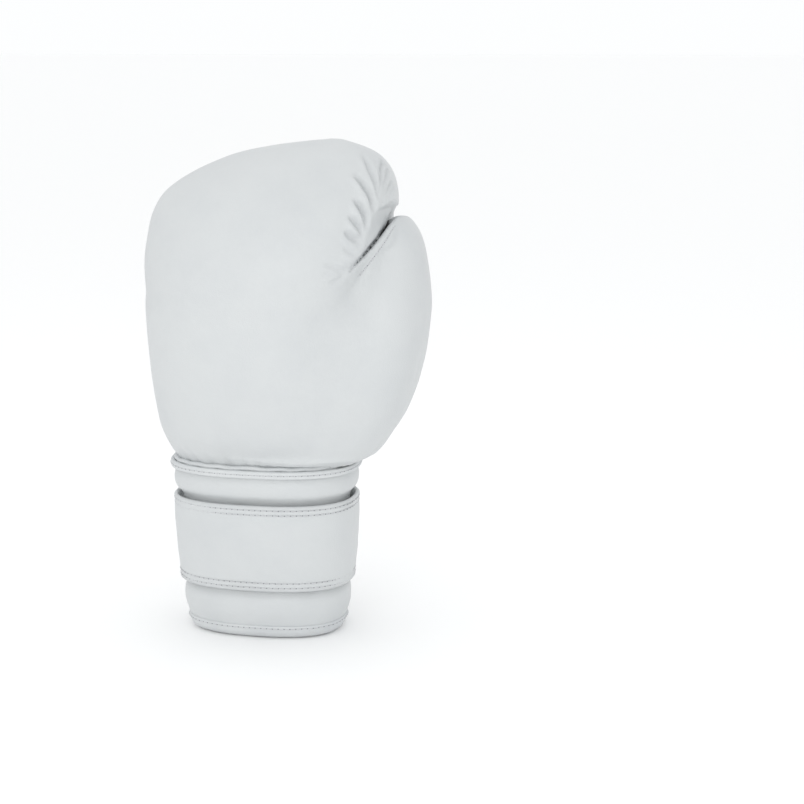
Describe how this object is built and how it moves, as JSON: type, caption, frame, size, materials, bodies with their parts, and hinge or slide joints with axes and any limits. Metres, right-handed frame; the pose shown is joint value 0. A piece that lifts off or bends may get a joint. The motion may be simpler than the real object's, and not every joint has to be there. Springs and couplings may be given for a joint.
{
  "type": "boxing glove",
  "caption": "Left-hand padded boxing glove with an attached thumb, a curved finger roll, a slit padded cuff and a wide hook-and-loop wrist strap, standing on its cuff.",
  "frame": {"origin": "middle of the cuff rim, on the plane the glove stands on", "axes": "+Z from the cuff rim to the knuckles, -Y the back of the hand, +Y the palm, +X the thumb side"},
  "size_m": [0.1654, 0.1285, 0.29],
  "materials": {
    "white_leather": "smooth, slightly glossy coated leather",
    "padding_foam": "soft closed-cell foam",
    "lining_fabric": "fine grey lining cloth",
    "fastener_tape": "hook-and-loop tape"
  },
  "bodies": {
    "mitt": {"mitt_shell": "white_leather", "palm_panel": "white_leather", "back_foam": "padding_foam", "palm_foam": "padding_foam", "core_foam": "padding_foam", "roll_foam": "padding_foam", "knuckle_foam": "padding_foam", "heel_side_foam": "padding_foam", "thumb_side_foam": "padding_foam", "grip_bar": "padding_foam", "hand_lining": "lining_fabric", "thumb_gusset": "lining_fabric", "patch_arch": "white_leather", "wrist_welt": "white_leather", "cuff_shell": "white_leather", "cuff_back_foam": "padding_foam", "cuff_heel_foam": "padding_foam", "cuff_thumb_foam": "padding_foam", "cuff_lining": "lining_fabric", "cuff_binding": "white_leather", "loop_patch": "fastener_tape", "thumb_tether": "white_leather"},
    "thumb": {"thumb_shell": "white_leather", "thumb_inner_panel": "white_leather", "thumb_foam": "padding_foam", "thumb_lining": "lining_fabric"},
    "thumb_flap": {"thumb_flap_leather": "white_leather", "thumb_flap_foam": "padding_foam", "thumb_flap_lining": "lining_fabric", "thumb_flap_binding": "white_leather", "thumb_patch_strip": "white_leather"},
    "heel_flap": {"heel_flap_leather": "white_leather", "heel_flap_foam": "padding_foam", "heel_flap_lining": "lining_fabric", "heel_flap_binding": "white_leather", "heel_patch_strip": "white_leather", "strap_seat": "white_leather", "strap_root_cover": "white_leather", "strap_root_core": "padding_foam"},
    "strap_side": {"strap_side_cover": "white_leather", "strap_side_core": "padding_foam"},
    "strap_back": {"strap_back_cover": "white_leather", "strap_back_core": "padding_foam", "hook_patch": "fastener_tape"}
  },
  "joints": [
    {"name": "thumb_flex", "type": "hinge", "parent": "mitt", "child": "thumb", "pos_m": [0.045, 0.008, 0.108], "axis": [0, 1, 0], "range_deg": [0, 4], "stiffness_Nm_per_rad": 1, "springref_deg": -3.44},
    {"name": "strap_peel", "type": "hinge", "parent": "strap_side", "child": "strap_back", "pos_m": [0.0458, -0.0277, 0.056], "axis": [0, 0, 1], "range_deg": [0, 150]},
    {"name": "strap_turn", "type": "hinge", "parent": "heel_flap", "child": "strap_side", "pos_m": [0.0477, 0.0257, 0.056], "axis": [0, 0, 1], "range_deg": [0, 75]},
    {"name": "heel_flap_open", "type": "hinge", "parent": "mitt", "child": "heel_flap", "pos_m": [-0.037, 0.0335, 0.052], "axis": [0, 0, 1], "range_deg": [0, 18]},
    {"name": "thumb_flap_open", "type": "hinge", "parent": "mitt", "child": "thumb_flap", "pos_m": [0.038, 0.0335, 0.052], "axis": [0, 0, 1], "range_deg": [-15, 0]}
  ],
  "couplings": [
    {"joint": "strap_turn", "follows": "strap_peel", "ratio": 0.5},
    {"joint": "heel_flap_open", "follows": "strap_peel", "ratio": 0.12},
    {"joint": "thumb_flap_open", "follows": "strap_peel", "ratio": -0.1}
  ]
}
